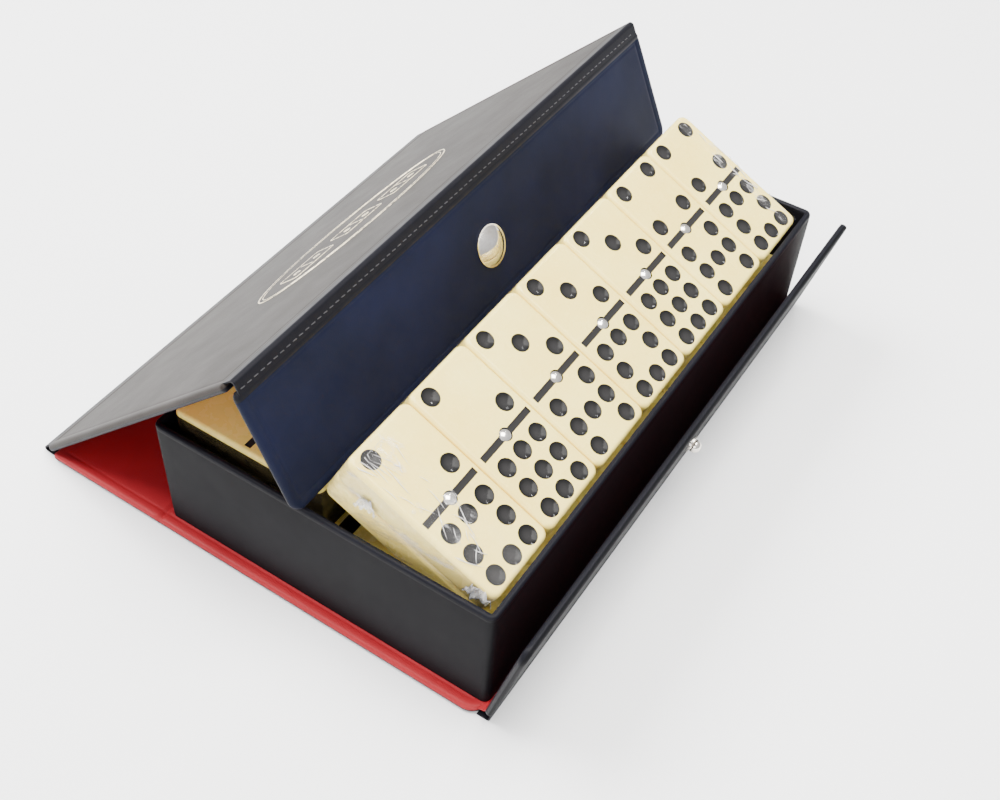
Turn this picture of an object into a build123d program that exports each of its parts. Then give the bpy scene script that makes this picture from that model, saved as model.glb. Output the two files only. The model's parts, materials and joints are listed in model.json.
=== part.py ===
from build123d import *
import os
from math import cos, sin, radians

# Double-nine domino set in its fold-over snap case, lid propped open.
# Millimetres. Origin: centre of the base panel's underside, on the table.
# +X along the case, away from the near end; -Y is the front (snap) side; +Z up.
# Angles of the folding panels are measured in the YZ plane from +Y towards +Z.

# ---- tiles ----
TILE_WIDTH = 25.0
TILE_LENGTH = 49.4
TILE_THICK = 9.3
TILE_PITCH = 25.2          # tile to tile along the case
LAYER_PITCH = 9.7          # layer to layer, so that a spinner's head clears the tile above
TILES_PER_LAYER = 7
CORNER_RADIUS = 2.6
EDGE_RADIUS = 1.3
PIP_PITCH = 7.35
PIP_CENTRE = 13.15         # from the divider to the middle of each half's pips
PIP_DIAMETER = 5.5
PIP_DEPTH = 0.5
BAR_LENGTH = 21.8
BAR_WIDTH = 2.0
BAR_DEPTH = 0.35
SPINNER_HEAD = 3.9         # diameter of the domed head
SPINNER_PROUD = 0.35
SPINNER_SHAFT = 2.0
SPINNER_DEPTH = 5.0
WRAP_THICK = 0.1           # shrink film
WRAP_GAP = 0.05

# ---- case panels: board between a vinyl cover and a red lining ----
PANEL_THICK = 2.4
COVER_THICK = 0.45
LINING_THICK = 0.4
PANEL_HALF_X = 97.6
PANEL_CORNER = 3.0
TONGUE_THICK = 0.8         # the two skins pressed together beside a fold
TONGUE_INSET = 4.0
BEAD_RADIUS = 1.2          # rolled vinyl on each fold line
BEAD_CLEAR = 0.3
FOLD_GAP = 1.9             # board edge to fold line, at an open fold
SHARP_FOLD_GAP = 3.4       # the same at the tight fold between back panel and lid
RIDGE_FOLD_GAP = 2.2

TRAY_LENGTH = 187.5
TRAY_WIDTH = 108.4
TRAY_HEIGHT = 38.6
WALL_THICK = 2.0
FLOOR_THICK = 2.0
SEAT_GAP = 0.2             # panel to tray wall when closed

BACK_LENGTH = 45.4         # fold line to fold line
LID_LENGTH = 113.4
FLAP_LENGTH = 39.6
FRONT_LENGTH = 39.6
LID_ANGLE = 136.2
FLAP_ANGLE = 244.9
FRONT_ANGLE = 103.4

# ---- snap fastener ----
SNAP_ON_FLAP = 22.0        # from the ridge
SNAP_ON_FRONT = 21.3       # from the front fold
CAP_DIAMETER = 12.5
CAP_HEIGHT = 2.4
CAP_SHELL = 0.5
SNAP_HOLE = 7.0
SOCKET_BORE = 4.6
STUD_BALL = 4.0
STUD_NECK = 2.8
STUD_PROUD = 3.3
STUD_FLANGE = 5.6
STUD_FLANGE_THICK = 0.5
POST_DISC = 9.0
POST_SHAFT = 2.4

# ---- the tilted block ----
BLOCK_ROLL = 25.8
BLOCK_Y, BLOCK_Z = -29.1, 51.2     # centre of its top face
COLUMN_Y = 27.15                   # centre line of the front and rear stacks

FOLD_Y = TRAY_WIDTH / 2 + SEAT_GAP + PANEL_THICK / 2
FOLD_Z = PANEL_THICK / 2
STACK_Z = PANEL_THICK + FLOOR_THICK
LAYER_SPAN = (TILES_PER_LAYER - 1) * TILE_PITCH + TILE_WIDTH
BLOCK_HEIGHT = LAYER_PITCH + TILE_THICK


def end_of(start, angle, length):
    """Far fold line of a panel that leaves start at an angle."""
    return (start[0] + length * cos(radians(angle)), start[1] + length * sin(radians(angle)))


BACK_FOLD = (FOLD_Y, FOLD_Z)
FRONT_FOLD = (-FOLD_Y, FOLD_Z)
LID_FOLD = end_of(BACK_FOLD, 0, BACK_LENGTH)
RIDGE = end_of(LID_FOLD, LID_ANGLE, LID_LENGTH)

os.makedirs("parts", exist_ok=True)


def save(name, *solids):
    """One node: a single solid, or a group of separate ones."""
    shape = solids[0] if len(solids) == 1 else Compound(children=list(solids))
    export_step(shape, f"parts/{name}.step")


def at(fold, angle):
    """Frame of a panel: local Y along it from its fold line, local Z across its thickness."""
    return Pos(0, *fold) * Rot(angle, 0, 0)


# ---------------------------------------------------------------- case panels
def plate(start, end, low, high, inset=0.0):
    outline = RectangleRounded(2 * (PANEL_HALF_X - inset), end - start - 2 * inset, PANEL_CORNER - inset)
    return Pos(0, (start + end) / 2, low) * extrude(outline, high - low)


def tongue(start, end):
    """Thin double skin that reaches from a board's edge to the bead on the fold line."""
    overlap = COVER_THICK / 2
    return Pos(0, (start + end) / 2, 0) * Box(
        2 * (PANEL_HALF_X - TONGUE_INSET), end - start + overlap, TONGUE_THICK)


def panel(name, frame, start, end, inner, first_fold=None, last_fold=None, holes=None):
    """Board, cover with turned edges, and lining. inner is +1 or -1, the lining's side."""
    half = PANEL_THICK / 2
    shell = plate(start, end, -half, half) - plate(
        start, end, -half + COVER_THICK, half, COVER_THICK)
    reach = BEAD_RADIUS + BEAD_CLEAR
    overlap = COVER_THICK / 2
    if first_fold is not None:
        shell += Pos(0, overlap / 2, 0) * tongue(first_fold + reach, start)
    if last_fold is not None:
        shell += Pos(0, -overlap / 2, 0) * tongue(end, last_fold - reach)
    board = plate(start, end, -half + COVER_THICK, half - LINING_THICK, COVER_THICK)
    lining = plate(start, end, half - LINING_THICK, half, COVER_THICK)
    layers = {"cover": shell, "board": board, "lining": lining}
    for layer, solid in layers.items():
        for distance, diameter, length in (holes or {}).get(layer, []):
            solid -= Pos(0, distance, 0) * Cylinder(diameter / 2, length)
        if inner < 0:
            solid = mirror(solid, Plane.XY)
        save(f"{name}_{layer}", frame * solid)


def hinge_strip(name, fold):
    bead = Cylinder(BEAD_RADIUS, 2 * (PANEL_HALF_X - TONGUE_INSET))
    save(name, Pos(0, *fold) * Rot(0, 90, 0) * bead)


THROUGH = 2 * PANEL_THICK
FLAP_HOLES = {layer: [(SNAP_ON_FLAP, SNAP_HOLE, THROUGH)] for layer in ("cover", "board", "lining")}
FRONT_HOLES = {
    "cover": [(SNAP_ON_FRONT, POST_SHAFT, THROUGH)],
    "board": [(SNAP_ON_FRONT, POST_SHAFT, THROUGH)],
    "lining": [(SNAP_ON_FRONT, POST_DISC, THROUGH)],
}

panel("base", at(FRONT_FOLD, 0), FOLD_GAP, 2 * FOLD_Y - FOLD_GAP, 1, 0, 2 * FOLD_Y)
panel("back", at(BACK_FOLD, 0), FOLD_GAP, BACK_LENGTH - SHARP_FOLD_GAP, 1, 0, BACK_LENGTH)
panel("lid", at(LID_FOLD, LID_ANGLE), SHARP_FOLD_GAP, LID_LENGTH - RIDGE_FOLD_GAP, 1, 0, LID_LENGTH)
panel("flap", at(RIDGE, FLAP_ANGLE), RIDGE_FOLD_GAP, FLAP_LENGTH, 1, 0, None, FLAP_HOLES)
panel("front", at(FRONT_FOLD, FRONT_ANGLE), FOLD_GAP, FRONT_LENGTH, -1, 0, None, FRONT_HOLES)

hinge_strip("back_hinge_strip", BACK_FOLD)
hinge_strip("front_hinge_strip", FRONT_FOLD)
hinge_strip("lid_hinge_strip", LID_FOLD)
hinge_strip("ridge_hinge_strip", RIDGE)


# ---------------------------------------------------------------- snap fastener
def dome(diameter, height):
    """Spherical cap standing on Z = 0."""
    radius = ((diameter / 2) ** 2 + height**2) / (2 * height)
    ball = Pos(0, 0, height - radius) * Sphere(radius)
    keep = Pos(0, 0, height / 2) * Cylinder(diameter / 2 + 1, height)
    return ball & keep


def snap_cap():
    """Hollow domed cap with a flat rim, on the flap's outer face (local -Z)."""
    rim_thick = 0.4
    shell = dome(CAP_DIAMETER, CAP_HEIGHT) - dome(CAP_DIAMETER - 2 * CAP_SHELL, CAP_HEIGHT - CAP_SHELL)
    rim = Pos(0, 0, rim_thick / 2) * (
        Cylinder(CAP_DIAMETER / 2, rim_thick) - Cylinder(CAP_DIAMETER / 2 - CAP_SHELL, rim_thick))
    return Rot(180, 0, 0) * (shell + rim)


def snap_socket():
    return Cylinder(SNAP_HOLE / 2, PANEL_THICK) - Cylinder(SOCKET_BORE / 2, PANEL_THICK)


def snap_stud():
    """Flange, neck and ball on the front panel's outer face (local +Z)."""
    flange = Pos(0, 0, STUD_FLANGE_THICK / 2) * Cylinder(STUD_FLANGE / 2, STUD_FLANGE_THICK)
    ball_z = STUD_PROUD - STUD_BALL / 2
    ball = Pos(0, 0, ball_z) * Sphere(STUD_BALL / 2)
    above = Pos(0, 0, STUD_PROUD / 2) * Cylinder(STUD_FLANGE, STUD_PROUD)
    neck = Pos(0, 0, ball_z / 2) * Cylinder(STUD_NECK / 2, ball_z)
    return flange + neck + (ball & above)


def snap_post():
    """Back of the stud: a disc let into the lining and a shaft through the board."""
    disc = Pos(0, 0, LINING_THICK / 2) * Cylinder(POST_DISC / 2, LINING_THICK)
    length = PANEL_THICK - LINING_THICK
    shaft = Pos(0, 0, LINING_THICK + length / 2) * Cylinder(POST_SHAFT / 2, length)
    return disc + shaft


half = PANEL_THICK / 2
flap_frame = at(RIDGE, FLAP_ANGLE) * Pos(0, SNAP_ON_FLAP, 0)
front_frame = at(FRONT_FOLD, FRONT_ANGLE) * Pos(0, SNAP_ON_FRONT, 0)
save("snap_cap", flap_frame * Pos(0, 0, -half) * snap_cap())
save("snap_socket", flap_frame * snap_socket())
save("snap_stud", front_frame * Pos(0, 0, half) * snap_stud())
save("snap_post", front_frame * Pos(0, 0, -half) * snap_post())


# ---------------------------------------------------------------- tray
def wall(name, size_x, size_y, x, y):
    save(name, Pos(x, y, PANEL_THICK + TRAY_HEIGHT / 2) * Box(size_x, size_y, TRAY_HEIGHT))


side_y = (TRAY_WIDTH - WALL_THICK) / 2
end_x = (TRAY_LENGTH - WALL_THICK) / 2
inner_width = TRAY_WIDTH - 2 * WALL_THICK
wall("tray_front_wall", TRAY_LENGTH, WALL_THICK, 0, -side_y)
wall("tray_back_wall", TRAY_LENGTH, WALL_THICK, 0, side_y)
wall("tray_near_wall", WALL_THICK, inner_width, -end_x, 0)
wall("tray_far_wall", WALL_THICK, inner_width, end_x, 0)
save("tray_floor", Pos(0, 0, PANEL_THICK + FLOOR_THICK / 2) * Box(
    TRAY_LENGTH - 2 * WALL_THICK, inner_width, FLOOR_THICK))

# ---------------------------------------------------------------- tiles
# Pip places on a three by three grid, (across the tile, along the tile).
CENTRE = [(0, 0)]
DIAGONAL = [(-1, 1), (1, -1)]
CORNERS = DIAGONAL + [(1, 1), (-1, -1)]
SIDES = [(-1, 0), (1, 0)]
ENDS = [(0, -1), (0, 1)]
PIPS = {
    0: [], 1: CENTRE, 2: DIAGONAL, 3: DIAGONAL + CENTRE, 4: CORNERS, 5: CORNERS + CENTRE,
    6: CORNERS + SIDES, 7: CORNERS + SIDES + CENTRE, 8: CORNERS + SIDES + ENDS,
    9: CORNERS + SIDES + ENDS + CENTRE,
}


def tile_blank():
    """Rounded tile with its top face on Z = 0, the divider groove and the spinner's hole."""
    body = extrude(RectangleRounded(TILE_WIDTH, TILE_LENGTH, CORNER_RADIUS), -TILE_THICK)
    rims = body.edges().group_by(Axis.Z)
    body = fillet(rims[0] + rims[-1], EDGE_RADIUS)
    groove = extrude(Rectangle(BAR_LENGTH, BAR_WIDTH), -BAR_DEPTH)
    hole = Pos(0, 0, -(BAR_DEPTH + SPINNER_DEPTH) / 2) * Cylinder(
        SPINNER_SHAFT / 2, BAR_DEPTH + SPINNER_DEPTH)
    seat = Pos(0, 0, -BAR_DEPTH / 2) * Cylinder(SPINNER_HEAD / 2, BAR_DEPTH)
    return body - groove - hole - seat


def tile(low, high):
    """Tile with the low number on its +Y half and the high number on its -Y half."""
    solid = BLANK
    radius = ((PIP_DIAMETER / 2) ** 2 + PIP_DEPTH**2) / (2 * PIP_DEPTH)
    for number, side in ((low, 1), (high, -1)):
        for across, along in PIPS[number]:
            solid -= Pos(across * PIP_PITCH, side * PIP_CENTRE + along * PIP_PITCH,
                         radius - PIP_DEPTH) * Sphere(radius)
    return solid


def spinner():
    """Domed pin: its head sits in the divider groove, its shaft in the tile."""
    head = Pos(0, 0, -BAR_DEPTH) * dome(SPINNER_HEAD, BAR_DEPTH + SPINNER_PROUD)
    shaft = Pos(0, 0, -BAR_DEPTH - SPINNER_DEPTH / 2) * Cylinder(SPINNER_SHAFT / 2, SPINNER_DEPTH)
    return head + shaft


def wrap(height):
    """Shrink film round the sides of a block, its top edge below the tiles' rounded rims."""
    low, high = EDGE_RADIUS - height, -EDGE_RADIUS
    inner = WRAP_GAP
    outer = WRAP_GAP + WRAP_THICK
    loops = [
        extrude(RectangleRounded(LAYER_SPAN + 2 * grow, TILE_LENGTH + 2 * grow, CORNER_RADIUS + grow),
                high - low)
        for grow in (outer, inner)
    ]
    return Pos(0, 0, low) * (loops[0] - loops[1])


def slot(index, layer):
    """Place of a tile in a block whose top face is on Z = 0; layer 0 is the upper one."""
    return Pos((index - (TILES_PER_LAYER - 1) / 2) * TILE_PITCH, 0, -layer * LAYER_PITCH)


BLANK = tile_blank()
PIN = spinner()
ALL_PAIRS = [(low, high) for low in range(10) for high in range(low, 10)]
SHOWN = [(2, 8), (2, 9), (3, 7), (3, 8), (3, 9), (4, 7), (4, 8)]
hidden = [pair for pair in ALL_PAIRS if pair not in SHOWN]
places = range(TILES_PER_LAYER)

# Upper front block, tilted: its seven upper tiles are separate nodes.
block = Pos(0, BLOCK_Y, BLOCK_Z) * Rot(BLOCK_ROLL, 0, 0)
for index, (low, high) in enumerate(SHOWN):
    save(f"tile_{low}_{high}", block * slot(index, 0) * tile(low, high))
    save(f"spinner_{low}_{high}", block * slot(index, 0) * PIN)
save("upper_block_tiles", *[block * slot(i, 1) * tile(*hidden[-1 - i]) for i in places])
save("upper_block_spinners", *[block * slot(i, 1) * PIN for i in places])
save("upper_block_wrap", block * wrap(BLOCK_HEIGHT))


def stack_place(y, layers_up):
    """Frame of a block's top face, its upper layer layers_up above the lowest one."""
    return Pos(0, y, STACK_Z + layers_up * LAYER_PITCH + TILE_THICK)


# Lower front block, and the two rear blocks. One place in the lower rear block is empty.
lower = stack_place(-COLUMN_Y, 1)
rear_lower = stack_place(COLUMN_Y, 1)
rear_upper = stack_place(COLUMN_Y, 3)
full_block = [(i, layer) for layer in (0, 1) for i in places]
short_block = [place for place in full_block if place != (TILES_PER_LAYER - 1, 0)]

save("lower_block_tiles", *[lower * slot(*place) * BLANK for place in full_block])
save("lower_block_spinners", *[lower * slot(*place) * PIN for place in full_block])
save("lower_block_wrap", lower * wrap(BLOCK_HEIGHT))
save("rear_top_tiles", *[rear_upper * slot(i, 0) * tile(*hidden[2 * i]) for i in places])
save("rear_top_spinners", *[rear_upper * slot(i, 0) * PIN for i in places])
save("rear_upper_tiles", *[rear_upper * slot(i, 1) * BLANK for i in places])
save("rear_upper_spinners", *[rear_upper * slot(i, 1) * PIN for i in places])
save("rear_upper_wrap", rear_upper * wrap(BLOCK_HEIGHT))
save("rear_lower_tiles", *[rear_lower * slot(*place) * BLANK for place in short_block])
save("rear_lower_spinners", *[rear_lower * slot(*place) * PIN for place in short_block])
save("rear_lower_wrap", rear_lower * wrap(BLOCK_HEIGHT))
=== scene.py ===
import json
import math
import random
import bmesh
import bpy
from mathutils import Matrix, Vector, noise


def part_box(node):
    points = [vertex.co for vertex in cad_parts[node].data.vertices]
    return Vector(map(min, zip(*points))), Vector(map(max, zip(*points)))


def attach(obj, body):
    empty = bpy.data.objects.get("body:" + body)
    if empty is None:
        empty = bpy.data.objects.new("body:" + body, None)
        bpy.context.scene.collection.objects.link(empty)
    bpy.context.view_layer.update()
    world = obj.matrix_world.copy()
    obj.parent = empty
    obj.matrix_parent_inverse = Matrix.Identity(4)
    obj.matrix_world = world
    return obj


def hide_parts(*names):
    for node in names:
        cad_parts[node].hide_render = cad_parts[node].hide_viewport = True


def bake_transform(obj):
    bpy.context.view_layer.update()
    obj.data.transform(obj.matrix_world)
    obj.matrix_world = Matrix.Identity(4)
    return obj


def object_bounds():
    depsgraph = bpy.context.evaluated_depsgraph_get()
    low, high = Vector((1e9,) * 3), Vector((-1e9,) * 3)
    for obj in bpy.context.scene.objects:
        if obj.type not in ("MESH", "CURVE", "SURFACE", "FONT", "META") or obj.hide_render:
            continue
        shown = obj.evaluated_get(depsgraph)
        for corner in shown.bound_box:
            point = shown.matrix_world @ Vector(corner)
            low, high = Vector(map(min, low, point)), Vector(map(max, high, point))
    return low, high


# A domino set in its fold-over snap case. Metres, in the frame of the CAD model.
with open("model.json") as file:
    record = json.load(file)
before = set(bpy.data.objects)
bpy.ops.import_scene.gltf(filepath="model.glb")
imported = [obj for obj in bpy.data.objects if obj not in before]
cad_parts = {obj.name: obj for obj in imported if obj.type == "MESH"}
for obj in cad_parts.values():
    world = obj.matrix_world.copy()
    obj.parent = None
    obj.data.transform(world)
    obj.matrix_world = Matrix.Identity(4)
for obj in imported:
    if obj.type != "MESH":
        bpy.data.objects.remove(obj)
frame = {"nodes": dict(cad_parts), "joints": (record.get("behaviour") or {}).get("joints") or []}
cad_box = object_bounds()
joints = {joint["name"]: joint for joint in frame["joints"]}
MM = 0.001

# ---------------------------------------------------------------- named sizes
PANEL_THICK = 2.4 * MM
HALF_THICK = PANEL_THICK / 2
PANEL_HALF_X = 97.6 * MM
CORNER = 4.0 * MM
BOARD_MARGIN = 0.45 * MM      # the cover beyond the board's edge
BOARD_THICK = 1.55 * MM
SKIN = 0.5 * MM
HEM = 4.2 * MM                # outer vinyl turned over a panel's edges
WELD_INSET = 3.2 * MM
WELD_DEPTH = 0.14 * MM
RIM_PAD = 0.12 * MM
EDGE_ROLL = 1.0 * MM
TRAY_WALL = 2.0 * MM
TILE_RIM = 1.35 * MM          # the rounded rim round a tile's flat face
PIP_DEPTH = 0.6 * MM
STITCH = 1.6 * MM
STITCH_PITCH = 2.4 * MM
STITCH_INSET = 1.8 * MM       # from the ridge to the row of stitches
GRID_STEP = 6 * MM            # between stations on the open part of a panel
EDGE_STEPS = [d * MM for d in (0, 0.15, 0.4, 0.8, 1.3, 1.9, 2.5, 2.85, 3.2, 3.55, 4.2, 5, 6.5, 9)]


# ---------------------------------------------------------------- materials
class Nodes:
    """Short hand for building one material's node tree."""

    def __init__(self, name):
        self.material = bpy.data.materials.new(name)
        self.material.use_nodes = True
        self.tree = self.material.node_tree
        self.shader = self.tree.nodes["Principled BSDF"]
        self.coords = self.add("ShaderNodeTexCoord")

    def add(self, kind, **values):
        node = self.tree.nodes.new(kind)
        for key, value in values.items():
            if key in node.inputs:
                node.inputs[key].default_value = value
            else:
                setattr(node, key, value)
        return node

    def link(self, source, target):
        self.tree.links.new(source, target)

    def noise(self, scale, detail=4.0, roughness=0.55, stretch=(1, 1, 1)):
        mapping = self.add("ShaderNodeMapping")
        mapping.inputs["Scale"].default_value = stretch
        self.link(self.coords.outputs["Object"], mapping.inputs["Vector"])
        node = self.add("ShaderNodeTexNoise", Scale=scale, Detail=detail, Roughness=roughness)
        self.link(mapping.outputs["Vector"], node.inputs["Vector"])
        return node.outputs["Fac"]

    def cells(self, scale):
        """Pebble pattern: how far a point is from the border of its cell."""
        node = self.add("ShaderNodeTexVoronoi", Scale=scale)
        node.feature = "DISTANCE_TO_EDGE"
        self.link(self.coords.outputs["Object"], node.inputs["Vector"])
        return node.outputs["Distance"]

    def ramp(self, source, stops):
        """Colour looked up from a value, by (place, colour) stops."""
        node = self.add("ShaderNodeValToRGB")
        elements = node.color_ramp.elements
        while len(elements) < len(stops):
            elements.new(0.5)
        for element, (place, colour) in zip(elements, stops):
            element.position = place
            element.color = (*colour, 1)
        self.link(source, node.inputs["Fac"])
        return node.outputs["Color"]

    def range(self, source, low, high):
        node = self.add("ShaderNodeMapRange")
        node.inputs["To Min"].default_value = low
        node.inputs["To Max"].default_value = high
        self.link(source, node.inputs["Value"])
        return node.outputs["Result"]

    def bumps(self, *layers):
        """Bump from (source, strength, distance) layers, laid over one another."""
        last = None
        for source, strength, distance in layers:
            node = self.add("ShaderNodeBump", Strength=strength, Distance=distance)
            self.link(source, node.inputs["Height"])
            if last:
                self.link(last, node.inputs["Normal"])
            last = node.outputs["Normal"]
        self.link(last, self.shader.inputs["Normal"])

    def set(self, **values):
        for key, value in values.items():
            self.shader.inputs[key.replace("_", " ")].default_value = value


def ivory():
    """Moulded tile plastic: warm cream with faint clouding and a polished skin."""
    m = Nodes("ivory")
    m.link(m.ramp(m.noise(45, 5), [(0.3, (0.92, 0.7, 0.16)), (0.7, (0.97, 0.8, 0.23))]),
           m.shader.inputs["Base Color"])
    m.link(m.range(m.noise(300, 3), 0.2, 0.34), m.shader.inputs["Roughness"])
    m.bumps((m.noise(120, 3), 0.12, 0.0004), (m.noise(1500, 2), 0.05, 0.00005))
    m.set(Subsurface_Weight=0.08, Subsurface_Radius=(0.004, 0.003, 0.0012), Subsurface_Scale=1.0,
          Coat_Weight=0.12, Coat_Roughness=0.12)
    return m.material


def pip_paint(facing):
    """Glossy dark paint, graded by slope: painted shade, darkest round each pip's steep rim and lighter in
    its middle.
    """
    m = Nodes("pip_paint")
    slope = m.add("ShaderNodeVectorMath", operation="DOT_PRODUCT")
    slope.inputs[1].default_value = facing
    m.link(m.coords.outputs["Normal"], slope.inputs[0])
    # colour from how far the surface turns from facing: painted shade, darkest at the steep rim, lighter in
    # the middle
    m.link(m.ramp(slope.outputs["Value"],
                  [(0.93, (0.002, 0.002, 0.002)), (0.952, (0.009, 0.009, 0.009)),
                   (1.0, (0.024, 0.023, 0.023))]),
           m.shader.inputs["Base Color"])
    m.link(m.range(m.noise(900, 2), 0.1, 0.18), m.shader.inputs["Roughness"])
    m.bumps((m.noise(1400, 2), 0.12, 0.00006))
    m.set(Coat_Weight=0.02, Coat_Roughness=0.1, Specular_IOR_Level=0.07)
    return m.material


def nickel():
    """Polished nickel with fine turned scratches and slight tarnish."""
    m = Nodes("nickel")
    m.link(m.ramp(m.noise(160, 4), [(0.35, (0.66, 0.6, 0.52)), (0.7, (0.92, 0.9, 0.87))]),
           m.shader.inputs["Base Color"])
    m.link(m.range(m.noise(600, 4, stretch=(1, 6, 6)), 0.08, 0.2), m.shader.inputs["Roughness"])
    m.bumps((m.noise(900, 3), 0.06, 0.00005))
    m.set(Metallic=1.0)
    return m.material


def vinyl(name, dark, light, rough=(0.42, 0.56), grain=0.3, gloss=0.3, coat=0.0):
    """Grained vinyl: pebble cells, fine pores, and soft patches where it has been rubbed."""
    m = Nodes(name)
    m.link(m.ramp(m.noise(22, 4), [(0.3, dark), (0.72, light)]), m.shader.inputs["Base Color"])
    m.link(m.range(m.noise(70, 5), *rough), m.shader.inputs["Roughness"])
    m.bumps((m.noise(35, 3), 0.25, 0.0012), (m.cells(1500), grain, 0.00008),
            (m.noise(2600, 3), 0.2, 0.00003))
    m.set(Coat_Weight=coat, Coat_Roughness=0.3, Specular_IOR_Level=gloss)
    return m.material


def thread():
    """Twisted sewing thread, waxed."""
    m = Nodes("thread")
    m.link(m.ramp(m.noise(1800, 2, stretch=(1, 3, 3)),
                  [(0.3, (0.014, 0.014, 0.016)), (0.7, (0.035, 0.035, 0.04))]),
           m.shader.inputs["Base Color"])
    m.bumps((m.noise(2500, 2, stretch=(4, 1, 1)), 0.5, 0.0001))
    m.set(Roughness=0.6)
    return m.material


def foil():
    """Hot-stamped pale foil, worn through in specks."""
    m = Nodes("foil")
    m.link(m.ramp(m.noise(700, 5), [(0.36, (0.2, 0.18, 0.14)), (0.52, (0.8, 0.7, 0.5))]),
           m.shader.inputs["Base Color"])
    m.link(m.range(m.noise(800, 4), 0.3, 0.55), m.shader.inputs["Roughness"])
    m.bumps((m.noise(1500, 3), 0.2, 0.00004))
    m.set(Metallic=0.6)
    return m.material


def film(name, clear, folds, dark=(0.9, 0.86, 0.82), light=(1, 1, 1)):
    """Shrink film: faint between its creases and milky along them, the milky streaks being painted
    highlights; a dark colour pair dims it as painted shade where it lies in shade.
    """
    m = Nodes(name)
    warp = m.noise(210, 5, 0.6, stretch=(1, 0.35, 1))
    # more opaque milky streaks along the creases: painted highlights for the light the creases catch
    crease_highlights = m.ramp(warp, [(0.56, (clear, clear, clear)), (0.62, (folds, folds, folds)),
                            (0.66, (clear, clear, clear))])
    m.link(m.ramp(m.noise(260, 4), [(0.3, dark), (0.7, light)]),
           m.shader.inputs["Base Color"])
    m.link(crease_highlights, m.shader.inputs["Alpha"])
    m.link(m.range(m.noise(420, 3), 0.05, 0.18), m.shader.inputs["Roughness"])
    m.bumps((warp, 0.8, 0.0008))
    m.set(IOR=1.5, Coat_Weight=0.8, Coat_Roughness=0.05)
    return m.material


def pale_floor():
    """Plain matt floor with a barely visible unevenness."""
    m = Nodes("pale_floor")
    m.link(m.ramp(m.noise(3, 2), [(0.3, (0.93, 0.93, 0.93)), (0.7, (0.96, 0.96, 0.96))]),
           m.shader.inputs["Base Color"])
    m.set(Roughness=0.85)
    return m.material


BLOCK_UP = Vector(joints["tile_2_8_lift"]["axis"]).normalized()
UP = Vector((0, 0, 1))
IVORY = ivory()
TILTED_PAINT = pip_paint(BLOCK_UP)
LEVEL_PAINT = pip_paint(UP)
NICKEL = nickel()
# The lid gets a lighter, browner copy of the black vinyl: painted light, for the sheen and light on the
# lid's face.
LIT_LID_VINYL = vinyl("lit_lid_vinyl", (0.013, 0.0098, 0.0078), (0.021, 0.0162, 0.0132), (0.46, 0.6), 0.3, 0.13)
NAVY_VINYL = vinyl("navy_vinyl", (0.004, 0.0052, 0.012), (0.007, 0.009, 0.026), (0.46, 0.6), 0.3, 0.07)
EDGE_VINYL = vinyl("edge_vinyl", (0.003, 0.003, 0.005), (0.005, 0.005, 0.008), (0.4, 0.54), 0.3, 0.1)
BLACK_VINYL = vinyl("black_vinyl", (0.004, 0.004, 0.0048), (0.0065, 0.0065, 0.0078), (0.46, 0.6), 0.3, 0.05)
RED_LINING = vinyl("red_lining", (0.235, 0.0085, 0.0125), (0.325, 0.0155, 0.021), (0.4, 0.55), 0.25, 0.2)
THREAD = thread()
FOIL = foil()
FILM = film("film", 0.012, 0.16)
# Mostly milky films for the crumpled tufts and the standing creases: painted highlights for the light that
# crumpled film catches.
CRUMPLE_HIGHLIGHT_FILM = film("crumple_highlight_film", 0.3, 0.8)
CREASE_HIGHLIGHT_FILM = film("crease_highlight_film", 0.4, 0.9)
# Dark film for the lower and rear wraps: painted shade, a dark sheet standing for the shade round those
# tiles and the dark case reflected in the film.
PAINTED_SHADE_FILM = film("painted_shade_film", 0.62, 0.74, (0.02, 0.015, 0.01), (0.05, 0.038, 0.026))
# Tan-tinted film for the upper block's wrap: a lighter painted shade, dimming the tile ends under it.
SHADE_TINTED_SLEEVE_FILM = film("shade_tinted_sleeve_film", 0.08, 0.24, (0.5, 0.41, 0.28), (0.72, 0.62, 0.46))


# ---------------------------------------------------------------- mesh helpers
def make_object(name, verts, faces, materials, face_slots=None, smooth=True, sharp=40):
    """Mesh object with its faces turned outward; edges steeper than sharp degrees stay crisp."""
    mesh = bpy.data.meshes.new(name)
    mesh.from_pydata(verts, [], faces)
    mesh.update()
    work = bmesh.new()
    work.from_mesh(mesh)
    bmesh.ops.recalc_face_normals(work, faces=work.faces)
    work.to_mesh(mesh)
    work.free()
    for material in materials:
        mesh.materials.append(material)
    if face_slots:
        mesh.polygons.foreach_set("material_index", face_slots)
    if smooth:
        mesh.polygons.foreach_set("use_smooth", [True] * len(mesh.polygons))
        mesh.set_sharp_from_angle(angle=math.radians(sharp))
    obj = bpy.data.objects.new(name, mesh)
    bpy.context.collection.objects.link(obj)
    return obj


def two_sided(rows, wide):
    """Faces of a closed sheet whose two grids of points are listed one after the other."""
    count = rows * wide
    faces = []
    for side in (0, 1):
        for r in range(rows - 1):
            for c in range(wide - 1):
                a = side * count + r * wide + c
                faces.append((a, a + 1, a + wide + 1, a + wide))
    rim = list(range(wide)) + [r * wide + wide - 1 for r in range(1, rows)]
    rim += [count - 1 - c for c in range(1, wide)] + [r * wide for r in range(rows - 2, 0, -1)]
    return faces + [(a, b, b + count, a + count) for a, b in zip(rim, rim[1:] + rim[:1])]


def spread(half, extra=()):
    """Stations from -half to half: close together at both ends and beside the extra ones."""
    ends = [-half + d for d in EDGE_STEPS] + [half - d for d in EDGE_STEPS]
    inner = half - EDGE_STEPS[-1]
    count = max(2, round(2 * inner / GRID_STEP))
    middle = [-inner + 2 * inner * i / count for i in range(1, count)]
    near = [e + d * MM for e in extra for d in (-3, -1.5, -0.8, -0.3, 0, 0.3, 0.8, 1.5, 3)]
    middle = [m for m in middle if all(abs(m - n) > 0.5 * MM for n in near)]
    return sorted(ends + middle + near)


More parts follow.
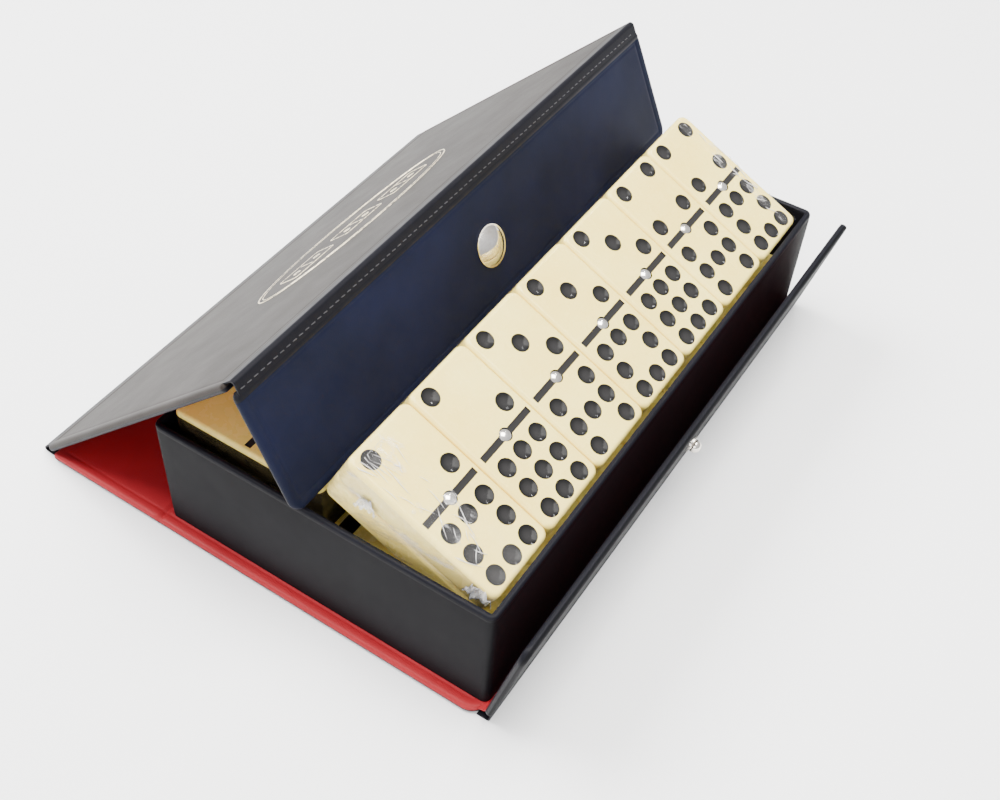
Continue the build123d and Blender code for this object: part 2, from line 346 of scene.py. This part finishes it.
def slab(half_x, half_y, heights, slot_of, corners, extra=()):
    """Closed sheet with rounded corners, the radii at its low and high Y ends given apart.
    heights(x, y, edge) gives (low, high), and slot_of(side, edge, y) a face's material,
    side -1 below, 0 round the edge, 1 above."""
    rows = spread(half_y, extra)
    columns = spread(half_x)
    verts, edges = [], []
    for side in (0, 1):
        for y in rows:
            corner = corners[0] if y < 0 else corners[1]
            over = max(0.0, abs(y) - (half_y - corner))
            width = half_x - corner + math.sqrt(max(0.0, corner**2 - over**2))
            for x in columns:
                near = half_x - abs(x)
                place = math.copysign(width - near, x) if near < 9.5 * MM else x
                edge = min(near, half_y - abs(y))
                verts.append((place, y, heights(place, y, edge)[side]))
                edges.append(edge)
    wide, count = len(columns), len(columns) * len(rows)
    faces = two_sided(len(rows), wide)
    slots = []
    for side in (0, 1):
        for r in range(len(rows) - 1):
            for c in range(wide - 1):
                a = side * count + r * wide + c
                slots.append(slot_of(2 * side - 1, max(edges[a], edges[a + wide + 1]), rows[r]))
    slots += [slot_of(0, 0, 0)] * (len(faces) - len(slots))
    return verts, faces, slots


def bell(distance, width):
    """1 at no distance, falling smoothly to nothing over a few widths."""
    return math.exp(-((distance / width) ** 2))


def rolled(edge, half):
    """Height of a face that rolls over at its edge."""
    inset = max(0.0, EDGE_ROLL - edge)
    return half - EDGE_ROLL + math.sqrt(max(0.0, EDGE_ROLL**2 - inset**2))


def turned_edge(edge):
    """Padded rim, then the welded line that holds the turned vinyl down."""
    rim = RIM_PAD * bell(edge - 1.6 * MM, 0.9 * MM)
    return rim - WELD_DEPTH * bell(edge - WELD_INSET, 0.32 * MM)


# ---------------------------------------------------------------- panels of the case
def fold(name):
    """A joint's place."""
    return Vector(joints[name]["pos_m"])


def middle_of(node):
    low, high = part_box(node)
    return (low + high) / 2


def fold_of(node):
    """A fold line's place, from the rolled vinyl that lies on it."""
    place = middle_of(node)
    return Vector((0, place.y, place.z))


BACK_FOLD = fold_of("back_hinge_strip")
LID_FOLD = fold("lid_open")
RIDGE = fold("flap_unfold")
FRONT_FOLD = fold("front_fold")


class Panel:
    """Frame and extent of a case panel, from its board: local Y leaves the fold line."""

    def __init__(self, name, start, flip=False):
        low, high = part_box(f"{name}_board")
        way = (low + high) / 2 - start
        self.angle = math.atan2(way.z, way.y)
        c, s = abs(math.cos(self.angle)), abs(math.sin(self.angle))
        size = high - low
        length = (size.y - BOARD_THICK * s) / c if c > s else (size.z - BOARD_THICK * c) / s
        self.half_y = length / 2 + BOARD_MARGIN
        self.middle = math.hypot(way.y, way.z)
        self.matrix = Matrix.Translation(start) @ Matrix.Rotation(self.angle, 4, "X")
        self.flip = flip

    def build(self, name, body, materials, sag, wave, nodes, corners, seam=None):
        """Slab in the panel's frame, bellied by sag and rippled by wave. The vinyl between the
        fold and a seam, a distance from the fold, is of the darker binding."""
        line = seam - self.middle if seam else -1

        def slot_of(side, edge, y):
            if side < 0:
                return 1 if y < line else 0
            return 1 if side == 0 or edge < HEM else 2

        def heights(x, y, edge):
            across = 1 - (y / self.half_y) ** 2
            along = 1 - (x / PANEL_HALF_X) ** 4
            ripple = noise.noise(Vector((x * 22, y * 30, wave / MM))) * wave
            lift = across * along * (sag + ripple)
            face = rolled(edge, HALF_THICK - 0.12 * MM) + turned_edge(edge)
            pressed = 0.16 * MM * bell(y - line, 0.4 * MM) if seam else 0
            return -face + lift + pressed, face + lift

        extra = [line] if seam else []
        verts, faces, slots = slab(PANEL_HALF_X, self.half_y, heights, slot_of, corners, extra)
        turn = -1 if self.flip else 1
        verts = [(x, y + self.middle, z * turn) for x, y, z in verts]
        obj = make_object(name, verts, faces, materials, slots)
        obj.matrix_world = self.matrix
        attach(obj, body)
        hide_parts(*nodes)
        return obj


def layers(name):
    """The CAD nodes of one panel."""
    return [f"{name}_{layer}" for layer in ("cover", "board", "lining")]


lid = Panel("lid", LID_FOLD)
flap = Panel("flap", RIDGE)
front = Panel("front", FRONT_FOLD, flip=True)
lid.build("lid_skin", "lid", [LIT_LID_VINYL, EDGE_VINYL, RED_LINING], -0.3 * MM, 0.2 * MM,
          layers("lid"), (1.2 * MM, 1.2 * MM))
flap.build("flap_skin", "flap", [NAVY_VINYL, EDGE_VINYL, RED_LINING], -0.15 * MM, 0.2 * MM,
           layers("flap"), (2 * MM, CORNER), seam=4.6 * MM)
front.build("front_skin", "front_panel", [BLACK_VINYL, EDGE_VINYL, RED_LINING], 0.15 * MM, 0.25 * MM,
            layers("front"), (3 * MM, CORNER))


def base_skin():
    """Base and back panels in one sheet, lined in red to the edge, creased where they meet."""
    first = FRONT_FOLD.y + 1.9 * MM
    last = LID_FOLD.y - 3.4 * MM
    centre = (first + last) / 2
    crease = BACK_FOLD.y - centre

    def heights(x, y, edge):
        face = rolled(edge, HALF_THICK - 0.12 * MM) + turned_edge(edge)
        dip = 0.55 * MM * bell(y - crease, 0.7 * MM) - 0.1 * MM * bell(abs(y - crease) - 2 * MM, 0.8 * MM)
        swell = 0.08 * MM * noise.noise(Vector((x * 20, y * 20, 4)))
        return -face + dip * 0.4, face - dip + swell

    def slot_of(side, edge, y):
        return 0 if side < 0 else (2 if side == 0 else 1)

    verts, faces, slots = slab(PANEL_HALF_X, (last - first) / 2, heights, slot_of,
                               (5 * MM, 1.2 * MM), [crease])
    verts = [(x, y + centre, z + BACK_FOLD.z) for x, y, z in verts]
    obj = make_object("base_skin", verts, faces, [BLACK_VINYL, RED_LINING, EDGE_VINYL], slots)
    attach(obj, "base")
    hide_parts(*layers("base"), *layers("back"), "back_hinge_strip")


base_skin()


# ---------------------------------------------------------------- folds between the panels
def fold_points(centre, from_angle, to_angle, reach, radius, count=14):
    """Cross-section of a skin round a fold line, straight then round then straight, as (y, z).

    The angles are the directions, from the fold line, of the panels on either side of it."""
    start = from_angle + math.pi / 2
    end = to_angle - math.pi / 2
    while end < start:
        end += 2 * math.pi
    points = []
    for k in (1.0, 0.7, 0.4):
        points.append((reach * k * math.cos(from_angle) + radius * math.cos(start),
                       reach * k * math.sin(from_angle) + radius * math.sin(start)))
    for i in range(count + 1):
        a = start + (end - start) * i / count
        points.append((radius * math.cos(a), radius * math.sin(a)))
    for k in (0.4, 0.7, 1.0):
        points.append((reach * k * math.cos(to_angle) + radius * math.cos(end),
                       reach * k * math.sin(to_angle) + radius * math.sin(end)))
    return [(centre.y + y, centre.z + z) for y, z in points]


def strip(name, outer, inner, material, half_x):
    """Thin closed sheet between two cross-section lines, along X."""
    columns = max(4, int(2 * half_x / GRID_STEP))
    xs = [-half_x + 2 * half_x * i / columns for i in range(columns + 1)]
    xs = [-half_x + 0.25 * MM, *xs[1:-1], half_x - 0.25 * MM]
    loop = outer + inner[::-1]
    count, rows = len(loop), len(outer)
    verts = [(x, y, z) for x in xs for y, z in loop]
    faces = []
    for c in range(columns):
        for i in range(count):
            j = (i + 1) % count
            faces.append((c * count + i, c * count + j, (c + 1) * count + j, (c + 1) * count + i))
    for first in (0, columns * count):
        for i in range(rows - 1):
            faces.append((first + i, first + i + 1, first + count - 2 - i, first + count - 1 - i))
    return make_object(name, verts, faces, [material])


def toward(angle, length):
    """Step of a given length across the case, at an angle up from +Y."""
    return Vector((0, length * math.cos(angle), length * math.sin(angle)))


def fold_skin(name, centre, from_angle, to_angle, reach, material, nodes):
    """Outer vinyl round a fold, between two panels."""
    outer = fold_points(centre, from_angle, to_angle, reach, HALF_THICK - 0.06 * MM)
    inner = fold_points(centre, from_angle, to_angle, reach, HALF_THICK - SKIN)
    obj = strip(name, outer, inner, material, PANEL_HALF_X - 1.0 * MM)
    centre + toward(from_angle, reach * 0.6)
    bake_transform(obj)
    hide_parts(*nodes)
    return obj


def fold_lining(name, centre, from_angle, to_angle, reach):
    """Lining across a fold: a shallow crease between the two panels' linings."""
    normal_a = toward(from_angle - math.pi / 2, HALF_THICK - 0.3 * MM)
    normal_b = toward(to_angle + math.pi / 2, HALF_THICK - 0.3 * MM)
    a = centre + toward(from_angle, reach) + normal_a
    b = centre + toward(to_angle, reach) + normal_b
    dip = (normal_a + normal_b) * 0.35
    count = 10
    line = [a.lerp(b, i / count) - dip * math.sin(math.pi * i / count) ** 2 for i in range(count + 1)]
    thin = (normal_a + normal_b).normalized() * 0.3 * MM
    outer = [(p.y, p.z) for p in line]
    inner = [((p - thin).y, (p - thin).z) for p in line]
    obj = strip(name, outer, inner, RED_LINING, PANEL_HALF_X - 1.6 * MM)
    centre + toward(from_angle, reach)
    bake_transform(obj)
    return obj


FULL_TURN = 2 * math.pi
fold_skin("lid_fold_skin", LID_FOLD, math.pi, lid.angle + FULL_TURN, 4.4 * MM, EDGE_VINYL,
          ["lid_hinge_strip"])
fold_skin("front_fold_skin", FRONT_FOLD, front.angle, FULL_TURN, 2.9 * MM, EDGE_VINYL,
          ["front_hinge_strip"])
fold_lining("front_fold_lining", FRONT_FOLD, front.angle, FULL_TURN, 2.9 * MM)
fold_skin("ridge_fold_skin", RIDGE, lid.angle + math.pi, flap.angle + FULL_TURN, 3.2 * MM, EDGE_VINYL,
          ["ridge_hinge_strip"])


# ---------------------------------------------------------------- stitching and emblem
def dash(verts, faces, centre, along, across, up, length, width, height):
    """One stitch: a low rounded bar of thread."""
    profile = [(-1, 0), (-0.7, 0.7), (0, 1), (0.7, 0.7), (1, 0)]
    first = len(verts)
    stations = [(-0.5, 0.15), (-0.38, 0.8), (0, 1), (0.38, 0.8), (0.5, 0.15)]
    for place, size in stations:
        for a, h in profile:
            side = across * a * width / 2 * size
            verts.append(centre + along * place * length + side + up * h * height * size)
    for s in range(len(stations) - 1):
        for i in range(len(profile) - 1):
            a = first + s * len(profile) + i
            faces.append((a, a + 1, a + len(profile) + 1, a + len(profile)))


def stitches(name, panel, body, distance, half_x):
    """A row of stitches across a panel's outer face, at a distance from its fold line."""
    verts, faces = [], []
    slant = Vector((1, 0.06, 0)).normalized()
    count = int(2 * half_x / STITCH_PITCH)
    for i in range(count + 1):
        place = Vector((-half_x + i * STITCH_PITCH, distance, -HALF_THICK + 0.08 * MM))
        dash(verts, faces, place, slant, Vector((0, 1, 0)), Vector((0, 0, -1)), STITCH, 0.36 * MM, 0.2 * MM)
    obj = make_object(name, verts, faces, [THREAD])
    obj.matrix_world = panel.matrix
    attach(obj, body)
    return obj


LID_REACH = (RIDGE - LID_FOLD).length
stitches("ridge_stitches", flap, "flap", STITCH_INSET, PANEL_HALF_X - 3 * MM)


def ribbon(verts, faces, path, width, depth, closed=True):
    """Flat raised line along a path of (x, y) points, standing depth below the outer face."""
    count = len(path)
    first = len(verts)
    for i, (x, y) in enumerate(path):
        before = path[i - 1] if closed or i else path[i]
        after = path[(i + 1) % count] if closed or i < count - 1 else path[i]
        dx, dy = after[0] - before[0], after[1] - before[1]
        size = math.hypot(dx, dy) or 1
        nx, ny = -dy / size * width / 2, dx / size * width / 2
        verts += [(x + nx, y + ny, 0), (x + nx * 0.8, y + ny * 0.8, -depth),
                  (x - nx * 0.8, y - ny * 0.8, -depth), (x - nx, y - ny, 0)]
    for i in range(count if closed else count - 1):
        a, b = first + 4 * i, first + 4 * ((i + 1) % count)
        faces += [(a + k, a + k + 1, b + k + 1, b + k) for k in range(3)]


def rounded_path(half_x, half_y, corner, centre):
    """Rectangle with rounded corners, as (x, y) points."""
    arc = 6
    points = []
    for k, (sx, sy) in enumerate([(1, 1), (-1, 1), (-1, -1), (1, -1)]):
        for i in range(arc + 1):
            a = math.radians(90 * k + 90 * i / arc)
            points.append((centre[0] + sx * (half_x - corner) + corner * math.cos(a),
                           centre[1] + sy * (half_y - corner) + corner * math.sin(a)))
    return points


def emblem():
    """Generic foil stamp: an oval border round a row of plain domino outlines."""
    verts, faces = [], []
    centre = (0, LID_REACH * 0.55)
    for shrink, width in ((0, 0.5 * MM), (1.6 * MM, 0.25 * MM)):
        wide, tall = 44 * MM - shrink, 17 * MM - shrink
        ring = [(centre[0] + wide * math.cos(a), centre[1] + tall * math.sin(a))
                for a in [math.tau * i / 72 for i in range(72)]]
        ribbon(verts, faces, ring, width, 0.12 * MM)
    for x in (-24 * MM, 0, 24 * MM):
        ribbon(verts, faces, rounded_path(9 * MM, 4.8 * MM, 1.4 * MM, (x, centre[1])), 0.45 * MM, 0.12 * MM)
        bar = [(x, centre[1] - 3.4 * MM), (x, centre[1] + 3.4 * MM)]
        ribbon(verts, faces, bar, 0.4 * MM, 0.12 * MM, closed=False)
        for dx in (-4.6 * MM, 4.6 * MM):
            pip = rounded_path(1 * MM, 1 * MM, 0.99 * MM, (x + dx, centre[1]))
            ribbon(verts, faces, pip, 0.6 * MM, 0.12 * MM)
    surface = -HALF_THICK - 0.18 * MM
    verts = [(x, y, z + surface) for x, y, z in verts]
    obj = make_object("lid_emblem", verts, faces, [FOIL], sharp=80)
    obj.matrix_world = lid.matrix
    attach(obj, "lid")


emblem()


# ---------------------------------------------------------------- tray
def tray_shell():
    """Covered board walls in one ring, rounded at the top edge and at the corners."""
    low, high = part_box("tray_front_wall")
    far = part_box("tray_back_wall")[1]
    half_x, half_y = high.x, far.y
    height = high.z - low.z
    top = [(0.0, 0.0), (0.0, height - 2.1 * MM), (0.1 * MM, height - 1.75 * MM), (0.0, height - 1.4 * MM),
           (0.0, height - 0.75 * MM), (0.22 * MM, height - 0.25 * MM), (0.7 * MM, height),
           (1.3 * MM, height), (1.8 * MM, height - 0.3 * MM), (TRAY_WALL, height - 0.9 * MM),
           (TRAY_WALL, TRAY_WALL)]
    corner = 2.4 * MM
    stations = 34
    rings = []
    for inset, z in top:
        ring = []
        radius = max(corner - inset, 0.5 * MM)
        wide, deep = half_x - inset - radius, half_y - inset - radius
        centres = [(wide, deep), (-wide, deep), (-wide, -deep), (wide, -deep)]
        for k, (cx, cy) in enumerate(centres):
            arc = [math.radians(90 * k + 15 * i) for i in range(7)]
            ring += [(cx + radius * math.cos(a), cy + radius * math.sin(a)) for a in arc]
            nx, ny = centres[(k + 1) % 4]
            turn = math.radians(90 * (k + 1))
            goal = (nx + radius * math.cos(turn), ny + radius * math.sin(turn))
            x0, y0 = ring[-1]
            ring += [(x0 + (goal[0] - x0) * i / stations, y0 + (goal[1] - y0) * i / stations)
                     for i in range(1, stations)]
        rings.append([(x, y, low.z + z) for x, y in ring])
    count = len(rings[0])
    verts = []
    for level, ring in enumerate(rings):
        for x, y, z in ring:
            rise = (z - low.z) / height
            wobble = noise.noise(Vector((x * 25, y * 25, 7))) * 0.22 * MM * rise
            if 0 < level < len(rings) - 1:
                z -= abs(wobble)
            verts.append((x, y, z))
    faces, slots = [], []
    for r in range(len(rings) - 1):
        for i in range(count):
            j = (i + 1) % count
            faces.append((r * count + i, r * count + j, (r + 1) * count + j, (r + 1) * count + i))
            slots.append(0 if r < 4 else 1)
    last = (len(rings) - 1) * count
    faces += [tuple(range(count)), tuple(range(last, last + count))]
    slots += [0, 1]
    obj = make_object("tray_shell", verts, faces, [BLACK_VINYL, EDGE_VINYL], slots)
    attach(obj, "base")
    walls = [f"tray_{side}_wall" for side in ("front", "back", "near", "far")]
    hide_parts(*walls, "tray_floor")


tray_shell()


# ---------------------------------------------------------------- shrink film
UP_SLOPE = BLOCK_UP.cross(Vector((1, 0, 0)))


def block_point(node, end_x):
    """Middle of a tilted tile's top edge, at its end_x side: -1 near, 1 far."""
    verts = [v.co for v in frame["nodes"][node].data.vertices]
    ups = max(v.dot(BLOCK_UP) for v in verts)
    spans = [v.dot(UP_SLOPE) for v in verts]
    xs = [v.x for v in verts]
    x = max(xs) if end_x > 0 else min(xs)
    return Vector((x, 0, 0)) + UP_SLOPE * (max(spans) + min(spans)) / 2 + BLOCK_UP * ups


def film_drape(name, node, body, end_x, reach, drop, seed):
    """Film that lies on a tile's face, turns over its end and hangs loosely below."""
    lift = 0.12 * MM
    origin = block_point(node, end_x)
    radius = 1.4 * MM
    half_y = 24.3 * MM
    rows, columns = 46, 60
    arc = radius * math.pi / 2
    total = reach + arc + drop
    verts = []
    for side in (1, 0):
        for r in range(rows + 1):
            run = total * r / rows
            if run < reach:
                x, z, nx, nz = reach - run + radius, 0, 0, 1
            elif run < reach + arc:
                a = (run - reach) / radius
                x, z = radius - radius * math.sin(a), radius * math.cos(a) - radius
                nx, nz = -math.sin(a), math.cos(a)
            else:
                x, z, nx, nz = 0, -radius - (run - reach - arc), -1, 0
            for c in range(columns + 1):
                y = half_y * (2 * c / columns - 1)
                fine = noise.noise(Vector((run * 500, y * 160, seed))) * 0.28 * MM
                wide = noise.noise(Vector((run * 130, y * 90, seed + 5))) * 0.35 * MM
                edge = 1.6 * MM * noise.noise(Vector((y * 120, seed, 2))) if r in (0, rows) else 0
                out = lift + abs(fine + wide) + side * 0.03 * MM
                px = x + nx * out + (edge if r == 0 else 0)
                pz = z + nz * out - (edge if r == rows else 0)
                verts.append(origin + Vector((-end_x * px, 0, 0)) + BLOCK_UP * pz + UP_SLOPE * y)
    faces = two_sided(rows + 1, columns + 1)
    obj = make_object(name, verts, faces, [FILM], sharp=180)
    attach(obj, body)


def film_tuft(name, body, place, size, turn, seed):
    """Gathered end of the film: a small crushed fan."""
    rows, columns = 12, 16
    verts = []
    spin = Matrix.Rotation(turn, 3, "Z")
    for side in (0, 1):
        for r in range(rows + 1):
            for c in range(columns + 1):
                u, v = c / columns - 0.5, r / rows
                crush = noise.noise(Vector((u * 9, v * 3, seed)))
                fold_line = noise.noise(Vector((u * 26, v * 1.5, seed + 3)))
                local = Vector((u * size * (0.5 + v), (crush * 0.22 + fold_line * 0.1) * size,
                                -v * size * (0.8 + 0.3 * crush)))
                verts.append(place + spin @ local + Vector((0, 0, side * 0.05 * MM)))
    faces = two_sided(rows + 1, columns + 1)
    obj = make_object(name, verts, faces, [CRUMPLE_HIGHLIGHT_FILM], sharp=180)
    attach(obj, body)


def film_creases(name, node, body, end_x, depth, count, seed):
    """Standing creases in the film over a tile's face, tapered and slightly bent."""
    pick = random.Random(seed)
    origin = block_point(node, end_x)
    half_y = 22 * MM
    verts, faces = [], []
    for _ in range(count):
        x = pick.uniform(1.5 * MM, depth)
        y = pick.uniform(-half_y, half_y)
        turn = pick.gauss(math.pi / 2, 0.3)
        bend = pick.uniform(-0.5, 0.5)
        length = pick.uniform(2.5 * MM, 9 * MM)
        width = pick.uniform(0.07 * MM, 0.2 * MM)
        first = len(verts)
        steps = 7
        for i in range(steps + 1):
            t = i / steps
            size = math.sin(math.pi * t) * 0.9 + 0.1
            heading = turn + bend * t
            x += math.cos(heading) * length / steps
            y += math.sin(heading) * length / steps
            px = min(max(x, 0.8 * MM), depth + 1.5 * MM)
            py = max(-half_y, min(half_y, y))
            side = Vector((math.sin(heading) * end_x, 0, 0)) + UP_SLOPE * math.cos(heading)
            middle = origin + Vector((-end_x * px, 0, 0)) + UP_SLOPE * py + BLOCK_UP * 0.28 * MM
            verts += [middle - side * width * size, middle + BLOCK_UP * 0.3 * MM * size,
                      middle + side * width * size, middle - BLOCK_UP * 0.04 * MM]
        for i in range(steps):
            for k in range(4):
                a, b = first + 4 * i + k, first + 4 * i + (k + 1) % 4
                faces.append((a, b, b + 4, a + 4))
        last = first + 4 * steps
        faces += [tuple(range(first, first + 4)), tuple(range(last, last + 4))]
    obj = make_object(name, verts, faces, [CREASE_HIGHLIGHT_FILM], sharp=180)
    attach(obj, body)


NEAR_TILE, FAR_TILE = "tile_2_8", "tile_4_8"
NEAR_END, FAR_END = block_point(NEAR_TILE, -1), block_point(FAR_TILE, 1)
film_drape("near_film", NEAR_TILE, NEAR_TILE, -1, 13 * MM, 7 * MM, 11)
film_creases("near_creases", NEAR_TILE, NEAR_TILE, -1, 12 * MM, 34, 5)
film_drape("far_film", FAR_TILE, FAR_TILE, 1, 5 * MM, 6 * MM, 23)
film_creases("far_creases", FAR_TILE, FAR_TILE, 1, 5 * MM, 16, 9)
film_tuft("near_low_tuft", "upper_block", NEAR_END - UP_SLOPE * 19 * MM - BLOCK_UP * 0.5 * MM
          - Vector((0.7 * MM, 0, 0)), 6 * MM, math.radians(90), 3)
film_tuft("near_high_tuft", "upper_block", NEAR_END + UP_SLOPE * 15 * MM - BLOCK_UP * 6 * MM
          - Vector((0.9 * MM, 0, 0)), 5 * MM, math.radians(95), 8)
film_tuft("far_tuft", "upper_block", FAR_END - UP_SLOPE * 12 * MM - BLOCK_UP * 2 * MM
          + Vector((1.3 * MM, 0, 0)), 6 * MM, math.radians(88), 14)


# ---------------------------------------------------------------- camera, light and floor
CAMERA_PLACE = Vector((-0.2424, -0.1357, 0.3020))
CAMERA_TURN = (42.65, -2.09, -56.53)      # degrees
CAMERA_LENS = 46.86
CAMERA_SHIFT = (0.0246, -0.0016)
FLOOR_HALF = 14.0
FLOOR_DROP = 0.2 * MM         # below the case, so that the two never share a plane
GLOW_LOW, GLOW_HIGH = 0.8, 1.5


def camera():
    data = bpy.data.cameras.new("camera")
    data.lens = CAMERA_LENS
    data.sensor_width = 36
    data.shift_x, data.shift_y = CAMERA_SHIFT
    data.clip_start, data.clip_end = 0.01, 20
    obj = bpy.data.objects.new("camera", data)
    obj.location = CAMERA_PLACE
    obj.rotation_euler = [math.radians(a) for a in CAMERA_TURN]
    bpy.context.collection.objects.link(obj)
    bpy.context.scene.camera = obj


def area_light(name, place, target, size, power, colour=(1, 1, 1)):
    """Rectangular lamp at place that shines toward target."""
    data = bpy.data.lights.new(name, "AREA")
    data.shape = "RECTANGLE"
    data.size, data.size_y = size
    data.energy = power
    data.color = colour
    obj = bpy.data.objects.new(name, data)
    obj.location = place
    obj.rotation_euler = (Vector(target) - Vector(place)).to_track_quat("-Z", "Y").to_euler()
    bpy.context.collection.objects.link(obj)


def studio():
    """A soft sky that is brighter overhead, three soft lamps, one small lamp for glints, and a floor."""
    world = bpy.data.worlds.new("studio")
    world.use_nodes = True
    tree = world.node_tree
    background = tree.nodes["Background"]
    background.inputs["Color"].default_value = (0.95, 0.96, 1.0, 1)
    coords = tree.nodes.new("ShaderNodeTexCoord")
    split = tree.nodes.new("ShaderNodeSeparateXYZ")
    fade = tree.nodes.new("ShaderNodeMapRange")
    fade.inputs["To Min"].default_value = GLOW_LOW
    fade.inputs["To Max"].default_value = GLOW_HIGH
    tree.links.new(coords.outputs["Generated"], split.inputs["Vector"])
    tree.links.new(split.outputs["Z"], fade.inputs["Value"])
    tree.links.new(fade.outputs["Result"], background.inputs["Strength"])
    bpy.context.scene.world = world
    area_light("key", (-0.1, 0.75, 0.9), (0, 0, 0.03), (0.8, 0.6), 30)
    area_light("top", (0.1, -0.15, 1.1), (0, 0, 0.03), (0.7, 0.7), 28, (1, 0.98, 0.94))
    area_light("near", (-0.9, -0.35, 0.55), (0, 0, 0.03), (0.5, 0.4), 5)
    area_light("glint", (0.56, -0.05, 0.63), (0, 0, 0.05), (0.03, 0.03), 1.2)
    corners = [(x * FLOOR_HALF, y * FLOOR_HALF, 0) for x, y in ((-1, -1), (1, -1), (1, 1), (-1, 1))]
    floor = make_object("floor", corners, [(0, 1, 2, 3)], [pale_floor()], smooth=False)
    floor.location.z = cad_box[0].z - FLOOR_DROP


camera()
studio()


# ---------------------------------------------------------------- tiles
def set_materials(node, *materials):
    """Gives a CAD piece its materials and smooth shading."""
    mesh = frame["nodes"][node].data
    mesh.materials.clear()
    for material in materials:
        mesh.materials.append(material)
    mesh.polygons.foreach_set("use_smooth", [True] * len(mesh.polygons))
    mesh.set_sharp_from_angle(angle=math.radians(28))
    return mesh


SHOWN = [name for name in frame["nodes"] if name.startswith("tile_")]
centres = sorted((sum(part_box(name), Vector()) / 2).x for name in SHOWN)
TILE_PITCH = centres[1] - centres[0]
low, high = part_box(SHOWN[0])
TILE_WIDTH = high.x - low.x


def paint_pips(node, normal, paint):
    """Paints the faces sunk into a layer of tiles whose broad face looks along normal."""
    mesh = set_materials(node, IVORY, paint)
    along = Vector((1, 0, 0)).cross(normal)
    heights = [v.co.dot(normal) for v in mesh.vertices]
    spans = [v.co.dot(along) for v in mesh.vertices]
    top, first, last = max(heights), min(spans) + TILE_RIM, max(spans) - TILE_RIM
    reach = TILE_WIDTH / 2 - TILE_RIM
    slots = []
    for polygon in mesh.polygons:
        depth = top - polygon.center.dot(normal)
        offset = (polygon.center.x - centres[0] + TILE_PITCH / 2) % TILE_PITCH - TILE_PITCH / 2
        run = polygon.center.dot(along)
        to_end, to_side = min(run - first, last - run), reach - abs(offset)
        inside = min(to_end, to_side) > 0 and to_end + to_side > 0.8 * MM
        slots.append(1 if inside and 0.004 * MM < depth < PIP_DEPTH else 0)
    mesh.polygons.foreach_set("material_index", slots)


for name in SHOWN + ["upper_block_tiles"]:
    paint_pips(name, BLOCK_UP, TILTED_PAINT)
paint_pips("rear_top_tiles", UP, LEVEL_PAINT)
for name in ("rear_upper_tiles", "rear_lower_tiles", "lower_block_tiles"):
    set_materials(name, IVORY)
for name in frame["nodes"]:
    if "spinner" in name or name.startswith("snap_"):
        set_materials(name, NICKEL)
    if name.endswith("_wrap"):
        # the wraps get tinted films: painted shade over the tiles they cover
        set_materials(name, SHADE_TINTED_SLEEVE_FILM if name.startswith("upper") else PAINTED_SHADE_FILM)
    if name.startswith("tray_"):
        set_materials(name, BLACK_VINYL)
    if name.endswith("hinge_strip"):
        set_materials(name, BLACK_VINYL)
